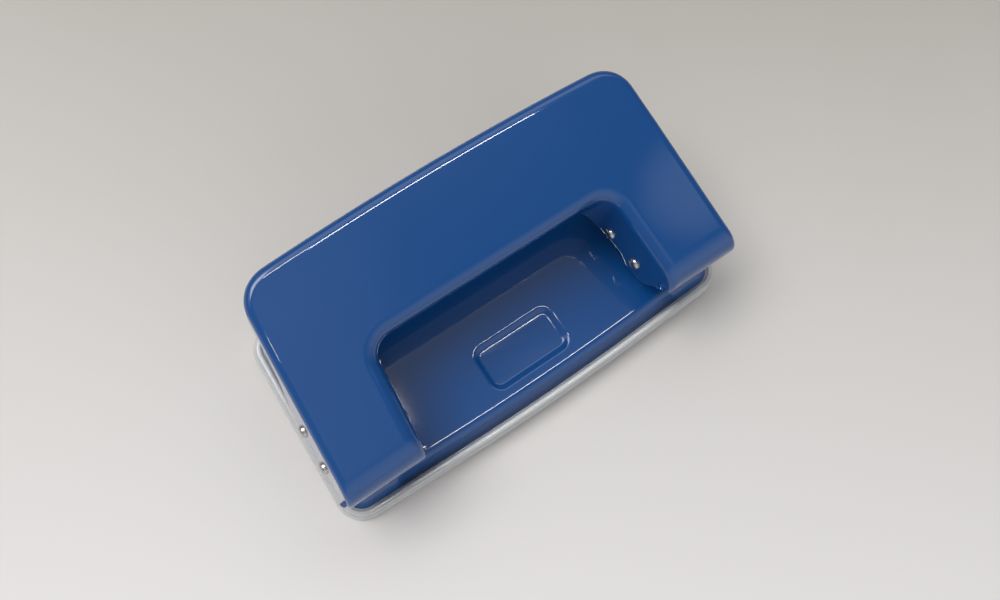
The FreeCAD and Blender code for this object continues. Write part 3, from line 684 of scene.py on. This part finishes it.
def wire_mesh(name, line, radius, around=10):
    """Tube of the given radius along a line of points, with a frame carried from point to point."""
    along = np.gradient(line, axis=0)
    along /= np.linalg.norm(along, axis=1)[:, None]
    steady = np.array([1.0, 0, 0])
    first = steady - along * (along @ steady)[:, None]
    first /= np.linalg.norm(first, axis=1)[:, None]
    second = np.cross(along, first)
    turns = np.linspace(0, 2 * np.pi, around, endpoint=False)[None, :, None]
    tube = line[:, None] + radius * (np.cos(turns) * first[:, None] + np.sin(turns) * second[:, None])
    rows = np.concatenate([line[None, :1].repeat(around, 1), tube, line[None, -1:].repeat(around, 1)])
    piece = skin(name, rows, around=True)
    clean(piece, 0.001)
    settle(piece, 60)
    return piece


drawn = Finish("spring_wire", Metallic=1.0)
streak = drawn.noise(1800.0, 3.0)
drawn.set(Base_Color=drawn.mix(streak, (0.25, 0.25, 0.26, 1), (0.48, 0.48, 0.49, 1)))
drawn.set(Roughness=0.25 + streak * 0.15)
drawn.bump(streak, 0.000005)
angles = np.linspace(coil_from, coil_to, 4 * 40)
coil = np.column_stack([coil_start_x + coil_pitch * (coil_from - angles) / (2 * np.pi),
                        pivot_y + coil_radius * np.cos(angles), pivot_z + coil_radius * np.sin(angles)])
leaving = (coil[0] - coil[1]) / np.linalg.norm(coil[0] - coil[1])
rising = (coil[-1] - coil[-2]) / np.linalg.norm(coil[-1] - coil[-2])
legs_down = coil[0] + leaving * np.linspace(short_leg, 0, 6, endpoint=False)[:, None]
legs_up = coil[-1] + rising * np.linspace(long_leg, 0, 12, endpoint=False)[::-1, None]
spring_line = np.concatenate([legs_down, coil, legs_up])
for side, sign in sides:
    spring = wire_mesh(f"return_spring_{side}_wire", spring_line * (sign, 1, 1), wire_radius)
    spring.data.materials.append(drawn.material)
    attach(spring, "handle")
    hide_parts(f"return_spring_{side}")


# Brackets and washers: bent and stamped from zinc-plated strip. Cutters and dies: tool steel, ground bright.
# Their shapes are the CAD's own, with the edges broken as stamping and tumbling leave them. The spacers are
# zinc-plated sleeves, cut to reach the flared ears.
def dressed(node, body, material, bevel):
    """Copy of a CAD node with its triangles merged and its edges broken."""
    piece = bpy.data.objects.new(f"{node}_dressed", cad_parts[node].data.copy())
    bpy.context.scene.collection.objects.link(piece)
    grid = bmesh.new()
    grid.from_mesh(piece.data)
    grid.transform(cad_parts[node].matrix_world)
    bmesh.ops.remove_doubles(grid, verts=grid.verts, dist=0.001 * MM)
    bmesh.ops.dissolve_limit(grid, angle_limit=math.radians(1), verts=grid.verts, edges=grid.edges)
    grid.to_mesh(piece.data)
    grid.free()
    soft = piece.modifiers.new("broken_edges", "BEVEL")
    soft.width = bevel * MM
    soft.segments = 2
    soft.limit_method = "ANGLE"
    soft.angle_limit = math.radians(40)
    weight = piece.modifiers.new("flat_faces", "WEIGHTED_NORMAL")
    weight.keep_sharp = True
    settle(piece, 35)
    piece.data.materials.clear()
    piece.data.materials.append(material)
    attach(piece, body)
    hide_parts(node)


zinc = Finish("zinc_plate", Metallic=1.0)
bloom = zinc.noise(420.0, 4.0)
rolled = zinc.noise(700.0, 2.0, where=zinc.stretched(1.0, 9.0, 9.0))
zinc.set(Base_Color=zinc.mix(bloom, (0.50, 0.51, 0.53, 1), (0.70, 0.71, 0.72, 1)))
zinc.set(Roughness=0.30 + bloom * 0.12 + rolled * 0.06)
zinc.bump(rolled + bloom * 0.4, 0.000012)
ground = Finish("ground_steel", Metallic=1.0)
rings = ground.noise(2200.0, 2.0, where=ground.stretched(1.0, 1.0, 8.0))
ground.set(Base_Color=ground.mix(rings, (0.38, 0.38, 0.40, 1), (0.58, 0.58, 0.60, 1)))
ground.set(Roughness=0.18 + rings * 0.14)
ground.bump(rings, 0.000008)
spacer_start = 47.4
spacer_end = ear_half(pivot_y, pivot_z) - sheet - 0.45
spacer_section = [(1.6, spacer_start), (2.9, spacer_start), (3.0, spacer_start + 0.1), (3.0, spacer_end - 0.1),
                  (2.9, spacer_end), (1.6, spacer_end), (1.55, spacer_end - 0.05), (1.55, spacer_start + 0.05),
                  (1.6, spacer_start)]
for side, sign in sides:
    dressed(f"bracket_{side}", "base", zinc.material, 0.12)
    spacer_profile = [(r, sign * x) for r, x in spacer_section]
    spacer = turned_piece(f"pivot_spacer_{side}_turned", spacer_profile, (0, pivot_y, pivot_z), "X")
    spacer.data.materials.append(zinc.material)
    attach(spacer, "handle")
    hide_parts(f"pivot_spacer_{side}")
    dressed(f"pivot_washer_{side}", "handle", zinc.material, 0.04)
    dressed(f"cutter_{side}", f"cutter_{side}", ground.material, 0.06)
    dressed(f"die_{side}", "base", ground.material, 0.06)
